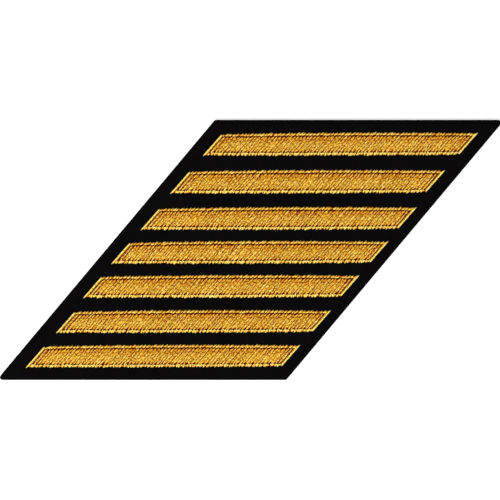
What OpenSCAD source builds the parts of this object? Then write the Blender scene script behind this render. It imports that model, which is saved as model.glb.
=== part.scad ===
// Service stripe: seven gold embroidered bars on a leaning piece of black cloth.
// It lies on its back. X runs along the bars, Y up the stripe, Z out of its face,
// and the origin is the middle of the cloth's underside.

/* [Backing cloth] */
// Length of the cloth's lower edge, and of its upper edge
cloth_l = 153.4; // [152:0.1:180]
// Height of the cloth between those two edges
cloth_h = 137.7; // [134:0.1:170]
// Angle of the cloth's slanted edges above the horizontal
cloth_lean = 50; // [49:0.5:51]
// Thickness of the cloth
cloth_t = 1.5; // [1:0.1:3]
// Radius of the cloth's cut corners
corner_r = 1.5; // [0.5:0.1:5]

/* [Bars] */
// Usual length of a bar along its long edges
bar_l = 136; // [100:0.5:138]
// Angle of a bar's ends above the horizontal
bar_lean = 48.5; // [47:0.5:52]
// Angle at which the bars climb to the right
bar_climb = 0.2; // [0:0.1:0.5]
// How far a bar's upper edge bows up in the middle
upper_bow = 0.6; // [0:0.1:1]
// How far a bar's lower edge bows down in the middle
lower_bow = 0.2; // [0:0.1:1]

/* [Stitching] */
// Width of the border
border_w = 1.3; // [1:0.1:1.8]
// Width of the groove between border and fill
groove_w = 0.5; // [0.3:0.05:0.8]
// Height of the border above the cloth
border_rise = 0.75; // [0.6:0.05:1.5]
// Height of the fill above the cloth along its middle
fill_rise = 0.85; // [0.6:0.05:1.5]
// How far the fill drops from its middle to its edges
fill_crown = 0.35; // [0.1:0.05:0.4]
// Depth to which the stitches press a bar into the cloth
seat_depth = 0.4; // [0.2:0.05:0.5]
// Clearance between a bar and its pressed seat
seat_gap = 0.08; // [0.05:0.01:0.2]

/* [Hidden] */
// Each bar from the top down: where its middle lies, its height at the ends,
// and how much longer it is than usual
X = 0;
Y = 1;
HEIGHT = 2;
LONGER = 3;
BARS = [
    [ 47.60,  55.90, 11.35, -0.5],
    [ 30.30,  36.00, 11.55, -0.8],
    [ 14.95,  16.55, 11.20,  0.1],
    [ -0.25,  -1.40, 11.15,  0.9],
    [-15.45, -19.40, 11.15,  0.3],
    [-30.10, -38.00, 11.15, -0.4],
    [-46.25, -56.30, 11.15, -0.6],
];

// Straight runs that make up a bowed long edge
runs = 6;
// Radius of the border's round back, and flats on each half of it
border_r = 0.57 * border_w;
back_steps = 3;
// How far a cutting solid reaches past what it cuts
over = 1;
bar_z = cloth_t - seat_depth + seat_gap;
border_h = border_rise + seat_depth - seat_gap;
fill_h = fill_rise + seat_depth - seat_gap;
$fn = 72;

// Radius of the arc that rises by rise over a chord of width
function arc_r(width, rise) = (pow(width / 2, 2) + pow(rise, 2)) / (2 * rise);

// Half the height of a bar at a share t of its length, with a bow that is full in the middle
function half_h(bar, bow, t) = bar[HEIGHT] / 2 + bow * (1 - pow(2 * t - 1, 2));

// Outline of a bar: along the lower edge to the right, then back along the upper edge
function bar_outline(bar) = concat(
    [for (k = [0 : runs]) outline_point(bar, k / runs, -half_h(bar, lower_bow, k / runs))],
    [for (k = [runs : -1 : 0]) outline_point(bar, k / runs, half_h(bar, upper_bow, k / runs))]
);

// The point at a share t of a bar's length and at height y, moved over by the lean
function outline_point(bar, t, y) =
    [(t - 0.5) * (bar_l + bar[LONGER]) + y / tan(bar_lean), y];

// Unit vector to the left of the way from a to b, which is inwards on an outline
function inwards(a, b) = [a[1] - b[1], b[0] - a[0]] / norm(b - a);

// The outline moved in by the same distance from each of its sides
function drawn_in(outline, distance) =
    let (count = len(outline))
    [for (k = [0 : count - 1])
        let (
            before = inwards(outline[(k + count - 1) % count], outline[k]),
            after = inwards(outline[k], outline[(k + 1) % count])
        )
        outline[k] + distance * (before + after) / (1 + before * after)];

module at_bar(bar) {
    translate([bar[X], bar[Y], bar_z]) rotate([0, 0, bar_climb]) children();
}

// Parallelogram whose corners are arcs of corner_r
module cloth_outline() {
    rise = cloth_h / 2 - corner_r;
    shift = rise / tan(cloth_lean);
    reach = cloth_l / 2 - corner_r / sin(cloth_lean);
    out = corner_r * [sin(cloth_lean), -cos(cloth_lean)];
    upper_right = [reach + shift, rise];
    lower_right = [reach - shift, -rise];
    up = [0, corner_r];
    for (c = [upper_right, lower_right, -upper_right, -lower_right])
        translate(c) circle(corner_r);
    polygon([
        lower_right - up, lower_right + out, upper_right + out, upper_right + up,
        up - lower_right, -out - lower_right, -out - upper_right, -up - upper_right
    ]);
}

module backing_cloth() {
    color("#0d0c0d")
    difference() {
        linear_extrude(cloth_t) cloth_outline();
        for (bar = BARS)
            at_bar(bar) translate([0, 0, -seat_gap])
                linear_extrude(seat_depth + over)
                    polygon(drawn_in(bar_outline(bar), -seat_gap));
    }
}

// Section of the border, from its outer foot over the round back to its inner foot:
// how far in from the bar's edge, and how high
function border_section() =
    let (shoulder = asin(border_w / (2 * border_r)))
    concat([[0, 0]], [for (k = [-back_steps : back_steps]) back_point(shoulder * k / back_steps)], [[border_w, 0]]);

// The point of the round back at this angle from its top
function back_point(angle) =
    [border_w / 2 + border_r * sin(angle), border_h - border_r * (1 - cos(angle))];

// A closed frame whose rings are the outline drawn in and lifted as the section says
module frame_along(outline, section) {
    sides = len(outline);
    rings = len(section);
    points = [for (s = section) each [for (p = drawn_in(outline, s[0])) [p[0], p[1], s[1]]]];
    faces = [for (j = [0 : rings - 1], k = [0 : sides - 1])
        let (this = j * sides, other = (j + 1) % rings * sides, next = (k + 1) % sides)
        [this + k, other + k, other + next, this + next]];
    polyhedron(points, faces, convexity = 4);
}

module bar_border(bar) {
    color("#d7a94b")
    at_bar(bar) frame_along(bar_outline(bar), border_section());
}

module bar_fill(bar) {
    inset = border_w + groove_w;
    width = bar[HEIGHT] + upper_bow + lower_bow - 2 * inset;
    middle = (upper_bow - lower_bow) / 2;
    radius = arc_r(width, fill_crown);
    color("#c4913a")
    at_bar(bar)
        intersection() {
            linear_extrude(fill_h) polygon(drawn_in(bar_outline(bar), inset));
            translate([-bar_l, middle, fill_h - radius]) rotate([0, 90, 0])
                cylinder(2 * bar_l, r = radius, $fn = 256);
        }
}

backing_cloth();
for (i = [1 : len(BARS)]) {
    bar_fill(BARS[i - 1]);
    bar_border(BARS[i - 1]);
}
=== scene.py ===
import math
from typing import NamedTuple

import bpy
import numpy as np
from bpy.props import FloatProperty, FloatVectorProperty, IntProperty, PointerProperty
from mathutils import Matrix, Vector


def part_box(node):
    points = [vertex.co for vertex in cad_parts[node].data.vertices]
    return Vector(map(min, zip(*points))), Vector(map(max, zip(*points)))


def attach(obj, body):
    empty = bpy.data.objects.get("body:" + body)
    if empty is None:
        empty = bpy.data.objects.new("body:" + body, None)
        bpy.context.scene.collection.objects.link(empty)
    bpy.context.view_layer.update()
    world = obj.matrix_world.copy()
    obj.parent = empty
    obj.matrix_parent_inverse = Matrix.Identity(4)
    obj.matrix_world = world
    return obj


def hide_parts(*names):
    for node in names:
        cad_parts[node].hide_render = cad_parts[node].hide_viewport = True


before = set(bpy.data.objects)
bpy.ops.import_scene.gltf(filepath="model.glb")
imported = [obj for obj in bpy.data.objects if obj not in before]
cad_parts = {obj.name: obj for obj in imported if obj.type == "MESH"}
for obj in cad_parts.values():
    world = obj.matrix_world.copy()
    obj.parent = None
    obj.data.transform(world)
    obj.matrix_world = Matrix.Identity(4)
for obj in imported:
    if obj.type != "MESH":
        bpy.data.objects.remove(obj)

# Service stripe: seven gold embroidered bars on a leaning piece of black cloth, made stitch by stitch.
# It lies on its back. X runs along the bars, Y up the stripe and Z out of its face. Places in the mesh
# functions are in metres, and MM turns the millimetres that a maker would use into them.

bl_info = {
    "name": "Service Stripe",
    "version": (1, 0, 0),
    "blender": (4, 5, 0),
    "location": "View3D > Sidebar > Service Stripe",
    "description": "Seven gold embroidered bars on black cloth, made stitch by stitch",
    "category": "Object",
}

MM = 0.001
BLUNT = 0.42 * MM  # how far the stitching is eased back at a bar's two blunt corners
BAR_NUMBERS = sorted(int(name.split("_")[1]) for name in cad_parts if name.endswith("_fill"))
CLOTH_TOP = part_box("backing_cloth")[1].z
SEAT = CLOTH_TOP - 0.42 * MM  # level of the cloth under a bar, just below the pads of its stitches


# Sizes and colours

class ClothSettings(bpy.types.PropertyGroup):
    """Sizes and colours of the backing cloth."""
    colour: FloatVectorProperty(
        name="Colour", description="Colour of the cloth", subtype="COLOR", size=3, min=0, max=1,
        default=(0.0013, 0.0011, 0.0012))
    nap_colour: FloatVectorProperty(
        name="Nap colour", description="Colour of the raised fibres", subtype="COLOR", size=3, min=0, max=1,
        default=(0.0026, 0.0022, 0.0024))
    weave: FloatProperty(
        name="Weave", description="Distance between two lines of the twill", subtype="DISTANCE",
        unit="LENGTH", default=0.55 * MM, min=0.2 * MM, max=2 * MM)
    pull: FloatProperty(
        name="Pull", description="Depth to which the stitches draw the cloth down beside a bar",
        subtype="DISTANCE", unit="LENGTH", default=0.3 * MM, min=0, max=0.38 * MM)
    wave: FloatProperty(
        name="Wave", description="Height of the cloth's soft unevenness", subtype="DISTANCE", unit="LENGTH",
        default=0.07 * MM, min=0, max=0.3 * MM)


class ThreadSettings(bpy.types.PropertyGroup):
    """Sizes and colours of the gold thread."""
    width: FloatProperty(
        name="Width", description="Width of a laid thread", subtype="DISTANCE", unit="LENGTH",
        default=0.47 * MM, min=0.3 * MM, max=0.9 * MM)
    thickness: FloatProperty(
        name="Thickness", description="Half the height of a laid thread", subtype="DISTANCE", unit="LENGTH",
        default=0.19 * MM, min=0.1 * MM, max=0.4 * MM)
    pitch: FloatProperty(
        name="Pitch", description="Distance along the bar from one thread of a bundle to the next",
        subtype="DISTANCE", unit="LENGTH", default=0.45 * MM, min=0.4 * MM, max=1.5 * MM)
    spacing: FloatProperty(
        name="Spacing", description="Distance along the bar from one bundle of threads to the next",
        subtype="DISTANCE", unit="LENGTH", default=1.85 * MM, min=1 * MM, max=4 * MM)
    parting: FloatProperty(
        name="Parting", description="Gap between two bundles of fill threads", subtype="DISTANCE",
        unit="LENGTH", default=0.34 * MM, min=0, max=0.8 * MM)
    # painted shade: the colour deep between the threads stands for the shadow there
    hole_shade_colour: FloatVectorProperty(
        name="Hole colour", description="Colour deep between the threads", subtype="COLOR", size=3, min=0,
        max=1, default=(0.100, 0.004, 0.007))
    shade_colour: FloatVectorProperty(
        name="Shade colour", description="Colour of the thread's shaded flanks", subtype="COLOR", size=3,
        min=0, max=1, default=(0.455, 0.056, 0.002))
    gold_colour: FloatVectorProperty(
        name="Gold colour", description="Colour of the thread", subtype="COLOR", size=3, min=0, max=1,
        default=(0.695, 0.384, 0.008))
    bright_colour: FloatVectorProperty(
        name="Bright colour", description="Colour of the lightest threads", subtype="COLOR", size=3, min=0,
        max=1, default=(0.860, 0.720, 0.190))


class StageSettings(bpy.types.PropertyGroup):
    """Camera, floor and lights."""
    view_width: FloatProperty(
        name="View width", description="Width of the floor that the camera sees", subtype="DISTANCE",
        unit="LENGTH", default=265 * MM, min=0.1, max=1)
    floor_colour: FloatVectorProperty(
        name="Floor colour", description="Colour of the floor", subtype="COLOR", size=3, min=0, max=1,
        default=(0.92, 0.92, 0.92))
    seed: IntProperty(
        name="Seed", description="Start of the thread's unevenness", default=11, min=0, max=999)


# Meshes

class Shape:
    """Points, four-sided faces, tones and surface places of one shape; + joins two shapes."""

    def __init__(self, points, quads, tone, place):
        self.points, self.quads, self.tone, self.place = points, quads, tone, place

    def __add__(self, other):
        return Shape(
            np.concatenate([self.points, other.points]),
            np.concatenate([self.quads, other.quads + len(self.points)]),
            np.concatenate([self.tone, other.tone]),
            np.concatenate([self.place, other.place]))


def tube_quads(count, rings, around, closed=False):
    """Faces of count tubes, each of so many rings with so many points around: each face joins a ring's
    side to the same side of the next ring. An open tube gets a cap at each end, a ladder of faces from
    one half of the ring to the other. A closed one joins its last ring to its first."""
    ring = np.arange(rings if closed else rings - 1)[:, None]
    side = np.arange(around)[None, :]
    here, there = ring * around, (ring + 1) % rings * around
    nearer, further = side, (side + 1) % around
    corners = np.broadcast_arrays(here + nearer, here + further, there + further, there + nearer)
    quads = np.stack(corners, -1).reshape(-1, 4)
    if not closed:
        rung = np.arange(around // 2 - 1)
        cap = np.stack([rung, rung + 1, around - 2 - rung, around - 1 - rung], -1)
        quads = np.concatenate([quads, cap[:, ::-1], cap + (rings - 1) * around])
    start = np.arange(count)[:, None, None] * (rings * around)
    return (quads[None] + start).reshape(-1, 4)


HIGH_SIDES = np.radians([0, 45, 90, 135, 180, 270])  # section of a thread that shows
LOW_SIDES = np.radians([0, 90, 180, 270])  # section of a thread that lies under others


def laid_threads(path, width, thickness, tone, sides):
    """A tube about each path: path + side * width / 2 * cos(a) + up * thickness * sin(a), where side is
    level, up stands on side and on the path, and a goes round the thread over its sides. The tone falls
    from the thread's back to its flanks, and further underneath, as painted shade. The place is the run
    along the thread in millimetres and the turn round it. path is threads x points x 3, the rest threads
    x points."""
    ahead = np.gradient(path, axis=1)
    ahead /= np.linalg.norm(ahead, axis=-1, keepdims=True)
    side = np.stack([-ahead[..., 1], ahead[..., 0], np.zeros(ahead.shape[:2])], -1)
    side /= np.linalg.norm(side, axis=-1, keepdims=True)
    up = np.cross(ahead, side)
    width, thickness, tone = (np.broadcast_to(v, path.shape[:2]) for v in (width, thickness, tone))
    out = (width[..., None] / 2 * np.cos(sides))[..., None] * side[:, :, None]
    lift = (thickness[..., None] * np.sin(sides))[..., None] * up[:, :, None]
    points = path[:, :, None] + out + lift
    # painted shade: the tone is darker on the thread's flanks and darker still underneath
    flank = np.cos(sides) ** 2 + 0.6 * (np.sin(sides) < 0)
    tones = tone[..., None] - 0.30 * flank
    run = np.concatenate(
        [np.zeros((len(path), 1)), np.linalg.norm(np.diff(path, axis=1), axis=-1).cumsum(1)], 1) / MM
    run += np.arange(len(path))[:, None] * 7.31 % 100  # so that no two neighbours are streaked alike
    u, v = np.broadcast_arrays(run[..., None], sides / (2 * math.pi))
    return Shape(
        points.reshape(-1, 3), tube_quads(*points.shape[:3]), tones.reshape(-1),
        np.stack([u, v], -1).reshape(-1, 2))


def single_tube(points, tone, place, closed=False):
    """One tube, as rings x points x 3. Its rings run the other way round from a thread's, so its faces
    are turned over to point outwards."""
    quads = tube_quads(1, *points.shape[:2], closed)[:, ::-1]
    return Shape(points.reshape(-1, 3), quads, tone.reshape(-1), place.reshape(-1, 2))


def put_mesh(name, shape, finish):
    """A new object at the origin whose mesh has the shape's points, faces, tones and surface places."""
    mesh = bpy.data.meshes.new(name)
    faces = len(shape.quads)
    mesh.vertices.add(len(shape.points))
    mesh.vertices.foreach_set("co", shape.points.astype(np.float32).ravel())
    mesh.loops.add(4 * faces)
    mesh.loops.foreach_set("vertex_index", shape.quads.astype(np.int32).ravel())
    mesh.polygons.add(faces)
    mesh.polygons.foreach_set("loop_start", np.arange(0, 4 * faces, 4, dtype=np.int32))
    mesh.polygons.foreach_set("use_smooth", np.ones(faces, dtype=bool))
    uv = mesh.uv_layers.new(name="place")
    uv.data.foreach_set("uv", shape.place[shape.quads.ravel()].astype(np.float32).ravel())
    tone = mesh.attributes.new("tone", "FLOAT", "POINT")
    tone.data.foreach_set("value", shape.tone.astype(np.float32))
    mesh.update()
    mesh.validate()
    mesh.materials.append(finish)
    piece = bpy.data.objects.new(name, mesh)
    bpy.context.scene.collection.objects.link(piece)
    return piece


def solid_points(name):
    """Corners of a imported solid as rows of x, y and z in metres."""
    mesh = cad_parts[name].data
    points = np.empty(3 * len(mesh.vertices))
    mesh.vertices.foreach_get("co", points)
    return points.reshape(-1, 3)


class Bar:
    """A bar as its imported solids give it. Its own places are x along it and y across it from its
    middle, and a line of constant x - shear * y is parallel to its slanted ends."""

    def __init__(self, number):
        flat = solid_points(f"bar_{number}_border")[:, :2]
        x, y = flat.T
        lower_left, upper_right = flat[np.argmin(x + 3 * y)], flat[np.argmax(x + 3 * y)]
        lower_right, upper_left = flat[np.argmax(x - 3 * y)], flat[np.argmin(x - 3 * y)]
        self.middle = (lower_left + lower_right + upper_left + upper_right) / 4
        self.length = np.linalg.norm(lower_right - lower_left)
        self.ahead = (lower_right - lower_left) / self.length
        self.across = np.array([-self.ahead[1], self.ahead[0]])
        half = (upper_left + upper_right - lower_left - lower_right) / 4
        self.half = half @ self.across
        self.shear = half @ self.ahead / self.half
        self.slope = 1 / math.hypot(1, self.shear)
        self.bow_up = ((flat - upper_left) @ self.across).max()
        self.bow_down = -((flat - lower_left) @ self.across).min()
        border_low, border_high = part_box(f"bar_{number}_border")
        self.floor, self.rail_top = border_low.z, border_high.z
        self.fill_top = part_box(f"bar_{number}_fill")[1].z

    def bulge(self, along, y):
        """How far a long edge stands out from its chord: bow * (1 - (2 * along / length)^2), less
        BLUNT * exp(-(distance from the blunt corner / 1.8 mm)^2), which eases that corner."""
        above = y > 0
        bow = np.where(above, self.bow_up, self.bow_down) * np.clip(1 - (2 * along / self.length) ** 2, 0, 1)
        from_blunt = np.clip(self.length / 2 + np.where(above, along, -along), 0, None)
        return bow - BLUNT * np.exp(-(from_blunt / (1.8 * MM)) ** 2)

    def place(self, along, y, z):
        """Leaning bar places to the frame: middle + (along + shear * y') * ahead + y' * across, where
        y' = y * (1 + bulge / half)."""
        along, y, z = np.broadcast_arrays(along, y, z)
        y_out = y * (1 + self.bulge(along, y) / self.half)
        x_out = along + self.shear * y_out
        flat = self.middle + x_out[..., None] * self.ahead + y_out[..., None] * self.across
        return np.concatenate([flat, z[..., None]], -1)

    def outside(self, flat):
        """Distance by which flat points lie outside the bar, less than zero inside it."""
        from_middle = flat - self.middle
        x, y = from_middle @ self.ahead, from_middle @ self.across
        along = x - self.shear * y
        over = np.abs(y) - self.half - self.bulge(along, y)
        past = (np.abs(along) - self.length / 2) * self.slope
        return np.where((over > 0) & (past > 0), np.hypot(over, past), np.maximum(over, past))


# Backing cloth

class Cutting:
    """The cloth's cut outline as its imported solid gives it: a leaning shape with half_x from its middle
    to a slanted edge, half_y from its middle to a level one, and corners of one radius."""

    def __init__(self):
        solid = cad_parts["backing_cloth"].data
        x, y = solid_points("backing_cloth")[:, :2].T
        normal = np.empty(3 * len(solid.polygons))
        area = np.empty(len(solid.polygons))
        solid.polygons.foreach_get("normal", normal)
        solid.polygons.foreach_get("area", area)
        normal = normal.reshape(-1, 3)
        slanted = np.argmax(area * (normal[:, 0] > 0.5) * (np.abs(normal[:, 2]) < 0.1))
        self.lean = math.atan2(normal[slanted, 0], -normal[slanted, 1])
        self.shear = 1 / math.tan(self.lean)
        self.middle = (y.max() + y.min()) / 2
        self.half_y = (y.max() - y.min()) / 2
        self.half_x = (x - self.shear * (y - self.middle)).max()
        straight_end = x[y > y.max() - 1e-6].max()
        self.radius = (self.half_x + self.shear * self.half_y - straight_end) * math.tan(self.lean / 2)
        self.angles = self.lean, math.pi - self.lean  # of the sharp corners and of the blunt ones
        # what the arc takes off a corner of each kind, as a share of radius^2
        taken = [1 / math.tan(angle / 2) - (math.pi - angle) / 2 for angle in self.angles]
        self.area = 4 * self.half_x * self.half_y - 2 * self.radius ** 2 * sum(taken)

    def corner(self, angle):
        """The tangent length of the arc in a corner of this angle, and the power for cut_corners whose
        corner is as deep as that arc."""
        tangent = self.radius / math.tan(angle / 2)
        depth = self.radius * (1 / math.sin(angle / 2) - 1) / (2 * tangent * math.cos(angle / 2))
        return tangent, -1 / math.log2(1 - depth)


def spread(low, high, step, places, reach, fine):
    """Levels from low to high whose steps shrink from step to fine within reach of each place: the
    running sum of 1 / step is cut into equal parts."""
    t = np.linspace(low, high, 4001)
    near = np.min(np.abs(t[:, None] - np.asarray(places)[None, :]), axis=1)
    density = 1 / (fine + (step - fine) * np.clip(near / reach - 0.3, 0, 1))
    total = np.concatenate([[0], np.cumsum((density[1:] + density[:-1]) / 2 * np.diff(t))])
    return np.interp(np.linspace(0, total[-1], int(total[-1]) + 1), total, t)


def cut_corners(u, v, reach, power):
    """Moves leaning places (u, v), from -1 to 1 across the cloth, in from its corners. In the corner
    square of size reach, q = 1 - distance to each edge / reach is scaled by max(q) / |q|, where |q| is
    the power norm, which turns the square's border into a rounded one."""
    du, dv = 1 - np.abs(u), 1 - np.abs(v)
    q = np.stack([1 - du / reach[0], 1 - dv / reach[1]], -1)
    inside = (q > 0).all(-1)
    q = np.clip(q, 1e-9, 1)
    norm = (q ** power[..., None]).sum(-1) ** (1 / power)
    q *= (q.max(-1) / norm)[..., None]
    return (np.where(inside, np.sign(u) * (1 - (1 - q[..., 0]) * reach[0]), u),
            np.where(inside, np.sign(v) * (1 - (1 - q[..., 1]) * reach[1]), v))


def cloth_shape(settings, cutting, bars):
    """The backing cloth as one closed sheet: rings of places from edge to edge over the face, then
    back over the underside. The face is top - pull * exp(-outside / 0.9 mm) beside a bar, lies flat
    under it, waves softly elsewhere, and rolls down by a quarter millimetre at the cut edge."""
    lean, shear, half_x, half_y = cutting.lean, cutting.shear, cutting.half_x, cutting.half_y
    finest = 0.3 * MM  # step between places at the cut edges and at the edges of the bars
    bar_ends = half_x - 8.4 * MM
    u_places = [-half_x, -bar_ends, bar_ends, half_x]
    v_places = [-half_y, half_y]
    for bar in bars:
        v_places += [bar.middle[1] - bar.half, bar.middle[1] + bar.half]
    u = spread(-half_x, half_x, 2.1 * MM, u_places, 3 * MM, finest)
    v = spread(-half_y, half_y, 1.8 * MM, v_places, 2.2 * MM, finest)
    u, v = np.meshgrid(u / half_x, v / half_y, indexing="ij")
    sharp, blunt = (cutting.corner(angle) for angle in cutting.angles)
    tangent, power = (np.where(u * v > 0, *pair) for pair in zip(sharp, blunt))
    u, v = cut_corners(u, v, (tangent / half_x, tangent * math.sin(lean) / half_y), power)
    flat = np.stack([u * half_x + shear * v * half_y, v * half_y + cutting.middle], -1)

    outside = np.min([bar.outside(flat) for bar in bars], axis=0)
    away = np.clip(outside, 0, 1)
    # three long waves that cross, free of the bars, and a short pucker beside the stitches
    x, y = flat[..., 0] / MM, flat[..., 1] / MM
    wave = np.sin(x / 13 + 1.3 * np.sin(y / 17)) + np.sin(y / 11 - x / 29 + 0.7) + np.sin(x / 5.1 + y / 3.7)
    pucker = np.sin(x / 0.83 + 2 * np.sin(y / 9)) * np.exp(-away / (1.6 * MM))
    lift = settings.wave * (wave / 3 * (1 - np.exp(-away / (3 * MM))) + 0.5 * pucker)
    face = CLOTH_TOP - settings.pull * np.exp(-away / (0.9 * MM)) + lift
    face = np.where(outside < -0.1 * MM, SEAT, face)
    from_cut = np.minimum((1 - np.abs(u)) * half_x * math.sin(lean), (1 - np.abs(v)) * half_y)
    roll = np.clip(1 - from_cut / (0.55 * MM), 0, 1) ** 2
    top = np.concatenate([flat, (face - 0.28 * MM * roll)[..., None]], -1)
    under = np.concatenate([flat, (0.12 * MM * roll)[..., None]], -1)
    rings = np.concatenate([top, under[:, ::-1]], 1)
    return single_tube(rings, np.zeros(rings.shape[:2]), rings[..., :2] / MM)


# Stitches

FILL_INSET = 1.60 * MM  # from a bar's long edge to the holes in which fill and border stitches meet
END_INSET = 1.62 * MM  # from a bar's slanted end to its first fill thread
FIRST_BUNDLE = 1.90 * MM  # width along the bar of the first and the last bundle, with its gap
RIGHT_LESS = 0.15 * MM  # by how much the last bundle, at the right end, is narrower than the first
CROWN = 0.35 * MM  # how far the fill drops from its middle to its edges

# Where the fill's needle holes lie along a thread on average, as shares of its length from the lower
# end, how far they step up and down from one bundle to the next, and how loosely each keeps its row
HOLES = np.array([0, 0.20, 0.35, 0.57, 0.77, 1])
SWAY = np.array([0, 0.18, 0.13, 0.18, 0.11, 0])
LOOSE = np.array([0.2, 1, 1, 1, 1, 0.2])
STITCHES = len(HOLES) - 1

# Where the points of a stitch lie along its run, as shares of it: closest where the stitch turns down
FILL_STEPS = np.array([0, 0.10, 0.32, 0.68, 0.90, 1])
BASE_STEPS = np.array([0, 0.08, 0.5, 0.92, 1])
RAIL_STEPS = np.array([0, 0.14, 0.42, 0.80, 1])
END_STEPS = np.linspace(0, 1, 9)

# Section of the border's pad from its outer foot over its back into the groove and back along the
# floor: how far in from the bar's edge its points lie, how high as shares of the border, and how light
# it is painted: painted shade, deepest at its foot and in the groove and least on its back
PAD_INSETS = np.array([0.34, 0.38, 0.50, 0.70, 0.92, 1.12, 1.28, 1.50, 1.50, 0.34]) * MM
PAD_RISES = np.array([0.30, 0.55, 0.78, 0.86, 0.78, 0.52, 0.28, 0.20, 0.0, 0.0]) * 0.84
PAD_SHADING = np.array([0.00, 0.08, 0.22, 0.30, 0.24, 0.10, -0.08, -0.12, -0.12, -0.05])


class Rail(NamedTuple):
    """What sets one long rail of a border apart from the other. Lengths are in millimetres."""
    side: int  # 1 for the upper rail and -1 for the lower
    gap: float  # between two bundles
    lean: float  # how far along the bar the outer end of a thread lies from the middle of its bundle
    gathered: float  # width of a bundle in the groove, as a share of its width outside
    out_inset: float  # from the bar's edge to the outer end of a thread
    in_inset: float  # from the bar's edge to the inner end of a thread
    # painted light and shade: tone lightens the lower rail, which faces the light; flank puts painted shade
    # on a bundle's flanks, and hole in the groove
    tone: float  # how much lighter the rail is
    flank: float  # how much darker a bundle is at its flanks
    bend: float  # power of a thread's path along the bar: the higher, the later it turns to its hole
    hole: float  # how much darker a thread is in the groove
    sharpness: int  # power of that darkness: the higher, the closer it keeps to the hole


UPPER_RAIL = Rail(
    side=1, gap=0.05, lean=0.30, gathered=0.10, out_inset=0.05, in_inset=1.38, tone=-0.01, flank=0.20,
    bend=1.5, hole=0.58, sharpness=4)
LOWER_RAIL = Rail(
    side=-1, gap=0.01, lean=0.70, gathered=0.22, out_inset=-0.03, in_inset=1.54, tone=0.05, flank=0.06,
    bend=2.5, hole=0.34, sharpness=8)


def dive(s, sharpness=6):
    """How far a stitch has gone down into its holes at each share s of its run: |2 s - 1|^sharpness."""
    return np.abs(2 * s - 1) ** sharpness


def bundle_edges(bar, thread, seed):
    """Places along a bar where one bundle of threads ends and the next begins: evenly spaced and then
    shifted a little, with one bundle of its own at each end."""
    reach = bar.length / 2 - END_INSET / bar.slope
    inner = reach - FIRST_BUNDLE
    count = round(2 * inner / thread.spacing)
    edges = np.linspace(-inner, inner, count + 1)
    shifts = np.random.default_rng(seed).normal(0, 0.11 * thread.spacing, count - 1)
    edges[1:-1] += np.clip(shifts, -0.30 * thread.spacing, 0.30 * thread.spacing)
    return np.concatenate([[-reach], edges, [reach - RIGHT_LESS]])


def groove_holes(bundles, seed, side):
    """How far along the bar each hole of a groove lies from the middle of its bundle, half a millimetre
    at most. side is 1 for the upper groove and -1 for the lower."""
    shifts = np.random.default_rng(10 * seed + side).normal(0, 0.36, bundles)
    return np.clip(shifts, -0.50, 0.50) * MM


def bundled(edges, gap, pitch):
    """Threads about a pitch apart between each two edges, less the gap. Gives each thread's bundle, the
    bundle's middle, the thread's place from that middle as a share of the bundle's width, and that
    width."""
    width = np.diff(edges) - gap
    count = np.maximum(1, np.round(width / pitch)).astype(int)
    bundle = np.repeat(np.arange(len(width)), count)
    first = np.repeat(np.cumsum(count) - count, count)
    share = (np.arange(len(bundle)) - first + 0.5) / count[bundle] - 0.5
    return bundle, ((edges[1:] + edges[:-1]) / 2)[bundle], share, width[bundle]


def fill_pad(bar, thread):
    """Closed pad under a bar's fill, which reaches a little way into the border's. Its rings follow the
    slanted ends: over the crown top - CROWN * (y / half)^2, and back along the floor."""
    along = np.linspace(-1, 1, 49)[:, None] * (bar.length / 2 - 1.5 * MM / bar.slope)
    across = np.linspace(-1, 1, 13)
    y = np.concatenate([across, across[::-1]])[None, :] * (bar.half - 1.40 * MM)
    top = bar.fill_top - 3.1 * thread.thickness
    z = np.concatenate([top - CROWN * across ** 2, np.full(len(across), bar.floor)])[None, :]
    points = bar.place(along, y, z)
    place = np.stack(np.broadcast_arrays(y / bar.slope / MM, along / (2 * thread.pitch)), -1)
    # painted shade: the pad gets the dark tone of the holes, where it shows between the threads
    return single_tube(points, np.full(points.shape[:2], -0.02), place)


def base_threads(bar, thread, rng):
    """Threads laid first, side by side under the fill: level - CROWN * (y / half)^2 from groove to
    groove, with their ends turned down."""
    reach = bar.length / 2 - (END_INSET + 0.1 * MM) / bar.slope
    count = int(2 * reach / (1.25 * thread.pitch))
    middle = np.linspace(-reach, reach, count)[:, None]
    share = BASE_STEPS[None, :]
    y = (2 * share - 1) * (bar.half - FILL_INSET + 0.12 * MM)
    shift, turn = rng.normal(0, 0.08 * MM, (count, 1)), rng.normal(0, 0.15 * MM, (count, 1))
    down = dive(share, 8)
    z = bar.fill_top - 2.7 * thread.thickness - CROWN * (y / bar.half) ** 2 - 0.30 * MM * down
    # painted shade: the under-threads are dark as they lie in the fill's shadow, darker still where they
    # turn down
    tone = rng.normal(-0.04, 0.03, (count, 1)) - 0.25 * down
    path = bar.place(middle + shift + turn * (share - 0.5), y, z)
    return laid_threads(path, 1.7 * thread.width, thread.thickness, tone, LOW_SIDES)


def evened(values):
    """Values less the mean of their two neighbours, which leaves no broad light or dark patches."""
    return values - (np.roll(values, 1, 0) + np.roll(values, -1, 0)) / 2


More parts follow.
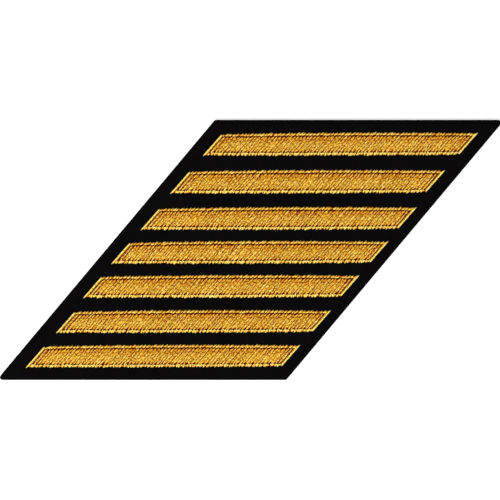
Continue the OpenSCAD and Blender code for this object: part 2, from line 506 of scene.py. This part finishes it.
def fill_holes(bundle, offset, rng):
    """The needle holes of each fill thread: their places along it as shares, and how far they lie
    beside it. The holes step up and down from bundle to bundle by a share 0.382 of their sway, and
    bundles spread and draw together at their holes by turns. offset is each thread's place in its
    bundle."""
    bundles = bundle[-1] + 1
    phase = (0.382 * np.arange(bundles) + rng.uniform() + rng.normal(0, 0.07, bundles)) % 1
    rows = HOLES + SWAY * (phase[:, None] - 0.5)
    rows = rows + LOOSE * rng.normal(0, 0.015, rows.shape)
    holes = rows[bundle] + LOOSE * rng.normal(0, 0.03, (len(bundle), len(HOLES)))
    turn = 1 - 2 * (np.add.outer(np.arange(bundles), np.arange(len(HOLES))) % 2)
    spread_by = 0.08 + 0.10 * turn * rng.uniform(0.1, 1, turn.shape)
    aside = offset[:, None] * spread_by[bundle]
    aside += rng.normal(0, 0.07 * MM, rows.shape)[bundle] + rng.normal(0, 0.03 * MM, holes.shape)
    return holes, aside


def end_parting_shade(bundle, share):
    """How much darker each fill thread is painted for the dark line of painted shade that parts the first
    and the last bundle from the rest. What is left of those two bundles is a little lighter."""
    last = bundle[-1]
    inward = np.where(bundle > last / 2, -share, share)
    from_end = np.minimum(bundle, last - bundle)
    end_bundle = np.where(inward > 0.25, 0.28, -0.08)
    next_bundle = np.where(inward < -0.25, 0.14, 0)
    return (from_end == 0) * end_bundle + (from_end == 1) * next_bundle


def fill_shape(bar, thread, seed):
    """The fill: threads parallel to the slanted ends, in bundles with a gap between them, each broken
    into stitches at its needle holes. A stitch runs level over the crown top - CROWN * (y / half)^2
    and turns down at both ends by dive(s) times its depth. A bundle is rounded, so that its flanks lie
    lower by the square of the place in it and are painted darker by it as shade, and its threads run
    together into one hole at each groove, where groove_holes puts it."""
    rng = np.random.default_rng(1000 + seed)
    edges = bundle_edges(bar, thread, seed)
    bundle, middle, place, width = bundled(edges, thread.parting, thread.pitch)
    bundles, offset = bundle[-1] + 1, width * place
    holes, aside = fill_holes(bundle, offset, rng)
    tone = evened(rng.normal(0, 0.03, (bundles, STITCHES)))[bundle]
    tone += evened(rng.normal(0, 0.10, (len(bundle), STITCHES)))
    tone -= end_parting_shade(bundle, place)[:, None]
    # how deep the painted shade in the grooves is for each bundle
    groove = np.clip(rng.normal(0.30, 0.16, bundles), 0.05, 0.7)[bundle]
    low_hole, high_hole = (middle + groove_holes(bundles, seed, side)[bundle] for side in (-1, 1))

    # from here on one row for each stitch
    low, high, aside_low, aside_high, tone = (
        v.reshape(-1, 1) for v in (holes[:, :-1], holes[:, 1:], aside[:, :-1], aside[:, 1:], tone))
    along, low_hole, high_hole, place, groove = (
        np.repeat(v, STITCHES)[:, None] for v in (middle + offset, low_hole, high_hole, place, groove))
    count = len(tone)
    s = FILL_STEPS[None, :]
    share = low + (high - low) * s
    rim = np.clip((np.abs(share - 0.5) - 0.37) / 0.13, 0, 1)  # 0 in the field, 1 at the grooves
    y = (2 * share - 1) * (bar.half - FILL_INSET)
    bend = rng.normal(0, 0.06 * MM, (count, 1)) * np.sin(math.pi * s)
    run = along + aside_low + (aside_high - aside_low) * s + bend
    run += (np.where(share > 0.5, high_hole, low_hole) - run) * rim
    down = dive(s, 4)
    level = bar.fill_top - thread.thickness - CROWN * (y / bar.half) ** 2
    level += rng.normal(-0.02 * MM, 0.015 * MM, (count, 1)) - 0.25 * MM * place ** 2

    # painted shade: darker at a stitch's two ends where it dives into its holes, on a bundle's rounded
    # flanks, in the grooves, and a little in the upper part, which faces away from the light
    flank = (2 * place) ** 2
    tone = 0.835 + tone - np.where(rim > 0.6, 0.25, 0.48) * down ** 1.5
    tone -= 0.34 * flank + groove * (0.6 + 1.2 * flank) * rim
    tone -= 0.10 * np.clip((share - 0.55) / 0.15, 0, 1)
    broad = thread.width * rng.normal(1, 0.07, (count, 1)) * (1 - 0.18 * down)
    path = bar.place(run, y, level - 0.23 * MM * down)
    laid = laid_threads(path, broad, thread.thickness * (1 - 0.2 * down), tone, HIGH_SIDES)
    return fill_pad(bar, thread) + base_threads(bar, thread, rng) + laid


def edge_pad(bar):
    """Closed pad under the border: a round-backed section carried round the bar, from its outer foot
    over the back to the middle of the groove, and back along the floor."""
    lengthwise, endwise = np.linspace(-1, 1, 61)[:-1], np.linspace(-1, 1, 9)[:-1]
    long_edge, short_edge = np.ones_like(lengthwise), np.ones_like(endwise)
    u = np.concatenate([lengthwise, short_edge, -lengthwise, -short_edge])[:, None]
    v = np.concatenate([-long_edge, endwise, long_edge, -endwise])[:, None]
    inset = PAD_INSETS[None, :]
    along = u * (bar.length / 2 - inset / bar.slope)
    points = bar.place(along, v * (bar.half - inset), bar.floor + (bar.rail_top - bar.floor) * PAD_RISES)
    place = np.stack(np.broadcast_arrays(inset / MM, along / MM), -1)
    return single_tube(points, np.broadcast_to(PAD_SHADING, points.shape[:2]), place, closed=True)


def rail_threads(bar, thread, rail, seed, rng):
    """One long rail: short threads side by side from the outer edge over the pad into the groove, where
    each bundle runs together into the hole that it shares with the fill. Heights follow
    foot + (back - foot) * (1 - |2 s - 1|^2.6). A bundle's outer end is a rounded tooth, set in by the
    square of the place in it. A rail has one more bundle at each end than the fill, beside the corner."""
    edges = bundle_edges(bar, thread, seed)
    edges = np.concatenate([[edges[0] - 1.0 * MM], edges, [edges[-1] + 1.0 * MM]])
    bundle, middle, place, width = bundled(edges, rail.gap * MM, thread.pitch)
    bundles, count = bundle[-1] + 1, len(bundle)
    flank = (2 * place) ** 2
    lean = rail.lean + rng.normal(0, 0.24, bundles)[bundle] + rng.normal(0, 0.10, count)
    outer = middle + 1.02 * width * place + lean * MM
    shift = np.concatenate([[0], groove_holes(bundles - 2, seed, rail.side), [0]])[bundle]
    inner = middle + shift + rail.gathered * width * place
    out_inset = (rng.normal(rail.out_inset, 0.12, bundles)[bundle] + 3.5 * place ** 2) * MM
    out_inset += rng.normal(0, 0.07 * MM, count)
    in_inset = (rng.normal(rail.in_inset, 0.09, bundles)[bundle] + rng.normal(0, 0.06, count)) * MM
    rise = (rng.normal(-0.01, 0.03, count) - 0.20 * place ** 2) * MM
    tone = rng.normal(rail.tone, 0.045, bundles)[bundle] + rng.normal(0, 0.06, count)
    # painted shade on each bundle's rounded flanks, deeper in some bundles than in others
    tone -= rail.flank * rng.uniform(0.3, 1.7, bundles)[bundle] * flank
    hole = rail.hole * (0.7 + 0.9 * flank)
    outer, inner, out_inset, in_inset, rise, tone, hole = (
        v[:, None] for v in (outer, inner, out_inset, in_inset, rise, tone, hole))

    s = RAIL_STEPS[None, :]
    y = rail.side * (bar.half - (out_inset + (in_inset - out_inset) * s))
    along = outer + (inner - outer) * s ** rail.bend
    foot = np.where(s < 0.5, SEAT, CLOTH_TOP + 0.02 * MM)
    z = foot + (bar.rail_top - thread.thickness + rise - foot) * (1 - np.abs(2 * s - 1) ** 2.6)
    # painted shade where a thread dives into its holes, at the outer edge and, by rail.hole, in the groove
    tone = 0.82 + tone - np.where(s < 0.5, 0.30, hole) * dive(s, rail.sharpness)
    broad = thread.width * rng.normal(1.1, 0.08, (count, 1)) * (1 - 0.2 * dive(s))
    # the corner is the end threads' own
    keep = (np.abs(along) < bar.length / 2 - 0.85 * MM / bar.slope).all(1)
    return laid_threads(bar.place(along, y, z)[keep], broad[keep], thread.thickness, tone[keep], HIGH_SIDES)


def end_threads(bar, thread, side, rng):
    """The three long threads along a slanted end, parallel to it, from the outermost in, each a row of
    three stitches from hole to hole. side is 1 at the right end, where they lie a little further in,
    and -1 at the left one."""
    insets = np.array([0.20, 0.52, 0.92]) * MM + (0.10 * MM if side > 0 else 0)
    # painted light: the outermost thread is painted as light as a highlight, and the innermost, which lies
    # lower, dark as shade
    tones = np.array([1.01, 0.94, 0.50])
    holes = np.array([(-1, -0.38, 0.30, 1), (-1, -0.10, 0.55, 1), (-1, -0.52, 0.12, 1)])
    # how far each thread stops short of the bar's sharp corner and of its blunt one
    sharp_short, blunt_short = np.array([(-0.22, 0.10, 0.70), (0.0, 0.15, 0.70)]) * MM
    inset, tone, sharp, blunt = (
        np.repeat(v, holes.shape[1] - 1)[:, None] for v in (insets, tones, sharp_short, blunt_short))
    s = END_STEPS[None, :]
    v = holes[:, :-1].reshape(-1, 1) + np.diff(holes, axis=1).reshape(-1, 1) * s
    y = v * (bar.half - np.where(side * v > 0, sharp, blunt))
    wobble = 0.03 * MM * np.sin(5 * v + rng.uniform(0, 6, (len(v), 1)))
    along = side * (bar.length / 2 - (inset + wobble) / bar.slope)
    down = dive(s, 10)
    depth = np.where(np.abs(v) > 0.9, 0.5, 0.16) * MM  # deepest at the two ends of a thread
    z = bar.rail_top - thread.thickness - 0.30 * np.clip(inset - 0.5 * MM, 0, 1) - depth * down
    # painted shade where the threads turn down into their holes
    return laid_threads(
        bar.place(along, y, z), 1.05 * thread.width * (1 - 0.2 * down), thread.thickness, tone - 0.22 * down,
        HIGH_SIDES)


def border_shape(bar, thread, seed):
    """The border: its pad, the two long rails and the long threads of both ends."""
    rng = np.random.default_rng(2000 + seed)
    return (edge_pad(bar)
            + rail_threads(bar, thread, UPPER_RAIL, seed, rng)
            + rail_threads(bar, thread, LOWER_RAIL, seed, rng)
            + end_threads(bar, thread, -1, rng)
            + end_threads(bar, thread, 1, rng))


# Finishes

class Value:
    """A socket of a finish, so that maths on it is written as an expression that adds Math nodes."""

    def __init__(self, finish, socket):
        self.finish, self.socket = finish, socket

    def maths(self, operation, *values):
        """One Math node on the values."""
        return self.finish.node("ShaderNodeMath", {"operation": operation}, dict(enumerate(values)))

    def __add__(self, other):
        return self.maths("ADD", self, other)

    def __sub__(self, other):
        return self.maths("SUBTRACT", self, other)

    def __rsub__(self, other):
        return self.maths("SUBTRACT", other, self)

    def __mul__(self, other):
        return self.maths("MULTIPLY", self, other)

    __radd__, __rmul__ = __add__, __mul__

    def sine(self):
        """Sine of the value in radians."""
        return self.maths("SINE", self)


class Finish:
    """A material under way. Every node of it but the output comes from node()."""

    def __init__(self, name):
        self.material = bpy.data.materials.new(name)
        self.material.use_nodes = True
        self.tree = self.material.node_tree
        self.tree.nodes.clear()

    def node(self, kind, settings=None, values=None, out=0):
        """Adds a node, sets its settings and ramp stops, then its sockets, and gives one output."""
        made = self.tree.nodes.new(kind)
        for name, setting in (settings or {}).items():
            if name == "stops":
                ramp = made.color_ramp
                while len(ramp.elements) < len(setting):
                    ramp.elements.new(0.5)
                for element, (position, colour) in zip(ramp.elements, setting):
                    element.position, element.color = position, (*colour, 1)
            else:
                setattr(made, name, setting)
        for name, value in (values or {}).items():
            if isinstance(value, Value):
                self.tree.links.new(value.socket, made.inputs[name])
            else:
                made.inputs[name].default_value = value
        return Value(self, made.outputs[out])

    def noise(self, place, scale, detail, roughness=0.5):
        """Noise from 0 to 1 over the place."""
        return self.node("ShaderNodeTexNoise", None, {
            "Vector": place, "Scale": scale, "Detail": detail, "Roughness": roughness})

    def parts(self, place):
        """The first two parts of a place."""
        first = self.node("ShaderNodeSeparateXYZ", None, {0: place})
        return first, Value(self, first.socket.node.outputs[1])

    def surface(self, values):
        """Ends the finish with one Principled shader."""
        shader = self.node("ShaderNodeBsdfPrincipled", None, values)
        end = self.tree.nodes.new("ShaderNodeOutputMaterial")
        self.tree.links.new(shader.socket, end.inputs["Surface"])
        return self.material


def thread_finish(name, thread, lift):
    """Twisted gold thread: the tone of each stitch plus the lift picks its colour, fine fibres streak it
    along its run, glints speckle it, and two plies wind round it."""
    finish = Finish(name)
    tone = finish.node("ShaderNodeAttribute", {"attribute_name": "tone"}, out="Fac")
    place = finish.node("ShaderNodeUVMap", {"uv_map": "place"})
    along, around = finish.parts(place)
    fibres = finish.node("ShaderNodeVectorMath", {"operation": "MULTIPLY"}, {0: place, 1: (0.9, 12.0, 1.0)})
    streak = finish.noise(fibres, 1.0, 2.0)
    glint = finish.noise(finish.node("ShaderNodeTexCoord", out="Object"), 1400.0, 1.0)
    ply = ((along * 1.15 + around * 2.0) * (2 * math.pi)).sine()
    # ridge is lightest on a thread's back and darkest on its flanks: in the colour it is painted light and
    # shade, and on the pads it paints the shaded ridges of threads; in the relief it is a bump
    ridge = ((around - 0.125) * (4 * math.pi)).sine()
    shade = tone + 0.30 * (streak - 0.5) + 0.80 * (glint - 0.5) + 0.04 * ply + 0.05 * ridge + lift
    # the ramp runs from the hole colour, painted shade deep between threads, and the shade colour of the
    # painted flanks, through the gold to the bright colour, which is partly the lightest threads' own colour
    # and partly painted highlight
    colour = finish.node("ShaderNodeValToRGB", {"stops": [
        (0.0, thread.hole_shade_colour), (0.30, thread.shade_colour), (0.62, thread.gold_colour),
        (1.0, thread.bright_colour)]}, {0: shade})
    hue = 0.5 + 0.10 * (finish.noise(fibres, 0.73, 1.0) - 0.5)
    colour = finish.node("ShaderNodeHueSaturation", None, {"Hue": hue, "Color": colour})
    relief = 0.6 * ply + 0.5 * streak + 0.8 * ridge
    bump = finish.node("ShaderNodeBump", None, {"Strength": 0.55, "Distance": 0.05 * MM, "Height": relief})
    return finish.surface({
        "Base Color": colour, "Roughness": 0.40 + 0.14 * streak, "Metallic": 0.55, "Normal": bump,
        "Specular IOR Level": 0.02, "Sheen Weight": 0.02, "Sheen Roughness": 0.4})


def cloth_finish(name, cloth):
    """Black uniform cloth: fine twill lines under a short felted nap."""
    finish = Finish(name)
    place = finish.node("ShaderNodeTexCoord", out="Object")
    x, y = finish.parts(place)
    nap = finish.noise(place, 900.0, 6.0, 0.7)
    patches = finish.noise(place, 60.0, 3.0)
    twill = ((x * 0.8 - y) * (2 * math.pi / cloth.weave) + 1.5 * patches + 2.5 * nap).sine()
    mask = finish.node("ShaderNodeMapRange", None, {
        "Value": 0.62 * nap + 0.25 * patches + 0.07 * twill, 1: 0.3, 2: 0.62, 3: 0.0, 4: 1.0})
    colour = finish.node("ShaderNodeMix", {"data_type": "RGBA"}, {
        0: mask, 6: (*cloth.colour, 1), 7: (*cloth.nap_colour, 1)}, out=2)
    relief = 0.5 * nap + 0.18 * twill
    bump = finish.node("ShaderNodeBump", None, {"Strength": 0.7, "Distance": 0.12 * MM, "Height": relief})
    return finish.surface({
        "Base Color": colour, "Roughness": 0.92, "Normal": bump, "Specular IOR Level": 0.012,
        "Sheen Weight": 0.015, "Sheen Roughness": 0.5, "Sheen Tint": (0.75, 0.78, 0.85, 1)})


# Steps of the work

class STRIPE_OT_cloth(bpy.types.Operator):
    """Lay the black backing cloth with a pressed seat under each bar"""
    bl_idname = "stripe.cloth"
    bl_label = "Backing cloth"

    def execute(self, context):
        cloth = context.scene.stripe_cloth
        cutting, bars = Cutting(), [Bar(number) for number in BAR_NUMBERS]
        finish = cloth_finish("black uniform cloth", cloth)
        piece = put_mesh("cloth", cloth_shape(cloth, cutting, bars), finish)
        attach(piece, "root")
        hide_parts("backing_cloth")
        return {"FINISHED"}


class STRIPE_OT_fill(bpy.types.Operator):
    """Sew the slanted fill stitches of each bar"""
    bl_idname = "stripe.fill"
    bl_label = "Fill stitches"

    def execute(self, context):
        thread, seed = context.scene.stripe_thread, context.scene.stripe_stage.seed
        finish = thread_finish("gold fill thread", thread, 0.0)
        for number in BAR_NUMBERS:
            piece = put_mesh(
                f"bar_{number}_fill_stitches", fill_shape(Bar(number), thread, seed + number), finish)
            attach(piece, "root")
            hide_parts(f"bar_{number}_fill")
        return {"FINISHED"}


class STRIPE_OT_border(bpy.types.Operator):
    """Sew the raised border stitches of each bar"""
    bl_idname = "stripe.border"
    bl_label = "Border stitches"

    def execute(self, context):
        thread, seed = context.scene.stripe_thread, context.scene.stripe_stage.seed
        finish = thread_finish("gold border thread", thread, 0.05)
        for number in BAR_NUMBERS:
            piece = put_mesh(
                f"bar_{number}_border_stitches", border_shape(Bar(number), thread, seed + number), finish)
            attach(piece, "root")
            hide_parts(f"bar_{number}_border")
        return {"FINISHED"}


class STRIPE_OT_stage(bpy.types.Operator):
    """Set up the pale floor, the soft lights and the camera straight above"""
    bl_idname = "stripe.stage"
    bl_label = "Stage"

    def execute(self, context):
        stage = context.scene.stripe_stage
        white = Finish("pale floor").surface({
            "Base Color": (*stage.floor_colour, 1), "Roughness": 0.9, "Specular IOR Level": 0.1})
        corners = 4.0 * np.array([[-1, -1, 0], [1, -1, 0], [1, 1, 0], [-1, 1, 0]])
        square = Shape(corners, np.array([[0, 1, 2, 3]]), np.zeros(4), corners[:, :2])
        floor = put_mesh("floor", square, white)

        camera = bpy.data.objects.new("camera", bpy.data.cameras.new("camera"))
        camera.data.lens, camera.data.sensor_width, camera.data.clip_end = 150, 36, 20
        distance = stage.view_width * camera.data.lens / camera.data.sensor_width
        # the stripe's middle lies this far to the right of the middle of the view, and above it
        camera.location = (-0.30 * MM, -0.04 * MM, distance)
        context.scene.collection.objects.link(camera)
        context.scene.camera = camera

        self.add_light(context, "overhead softbox", (0.10, 0.25, 1.6), 0.9, 14.0)
        self.add_light(context, "lower left key", (-0.85, -1.05, 0.95), 0.5, 26.0)

        world = bpy.data.worlds.new("studio")
        world.use_nodes = True
        sky = world.node_tree.nodes["Background"].inputs
        sky["Color"].default_value, sky["Strength"].default_value = (1, 1, 1, 1), 0.55
        context.scene.world = world
        context.scene.view_settings.view_transform = "Standard"
        return {"FINISHED"}

    def add_light(self, context, name, place, size, power):
        """A square soft light that looks at the origin."""
        light = bpy.data.lights.new(name, "AREA")
        light.size, light.energy = size, power
        lamp = bpy.data.objects.new(name, light)
        lamp.location = place
        lamp.rotation_euler = Vector(place).to_track_quat("Z", "Y").to_euler()
        context.scene.collection.objects.link(lamp)


class STRIPE_PT_sidebar(bpy.types.Panel):
    """Sizes, colours and steps of the service stripe"""
    bl_idname = "STRIPE_PT_sidebar"
    bl_label = "Service Stripe"
    bl_space_type = "VIEW_3D"
    bl_region_type = "UI"
    bl_category = "Service Stripe"

    def draw(self, context):
        for group in (context.scene.stripe_cloth, context.scene.stripe_thread, context.scene.stripe_stage):
            box = self.layout.box()
            for name in group.__annotations__:
                box.prop(group, name)
        for step in STEPS:
            self.layout.operator(step.bl_idname)


STEPS = (STRIPE_OT_stage, STRIPE_OT_cloth, STRIPE_OT_fill, STRIPE_OT_border)
CLASSES = (ClothSettings, ThreadSettings, StageSettings, *STEPS, STRIPE_PT_sidebar)


def register():
    for kind in CLASSES:
        bpy.utils.register_class(kind)
    bpy.types.Scene.stripe_cloth = PointerProperty(type=ClothSettings)
    bpy.types.Scene.stripe_thread = PointerProperty(type=ThreadSettings)
    bpy.types.Scene.stripe_stage = PointerProperty(type=StageSettings)


def unregister():
    del bpy.types.Scene.stripe_cloth, bpy.types.Scene.stripe_thread, bpy.types.Scene.stripe_stage
    for kind in reversed(CLASSES):
        bpy.utils.unregister_class(kind)


def main():
    register()
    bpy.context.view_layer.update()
    bpy.ops.stripe.stage()
    bpy.ops.stripe.cloth()
    bpy.ops.stripe.fill()
    bpy.ops.stripe.border()


if __name__ == "__main__":
    main()
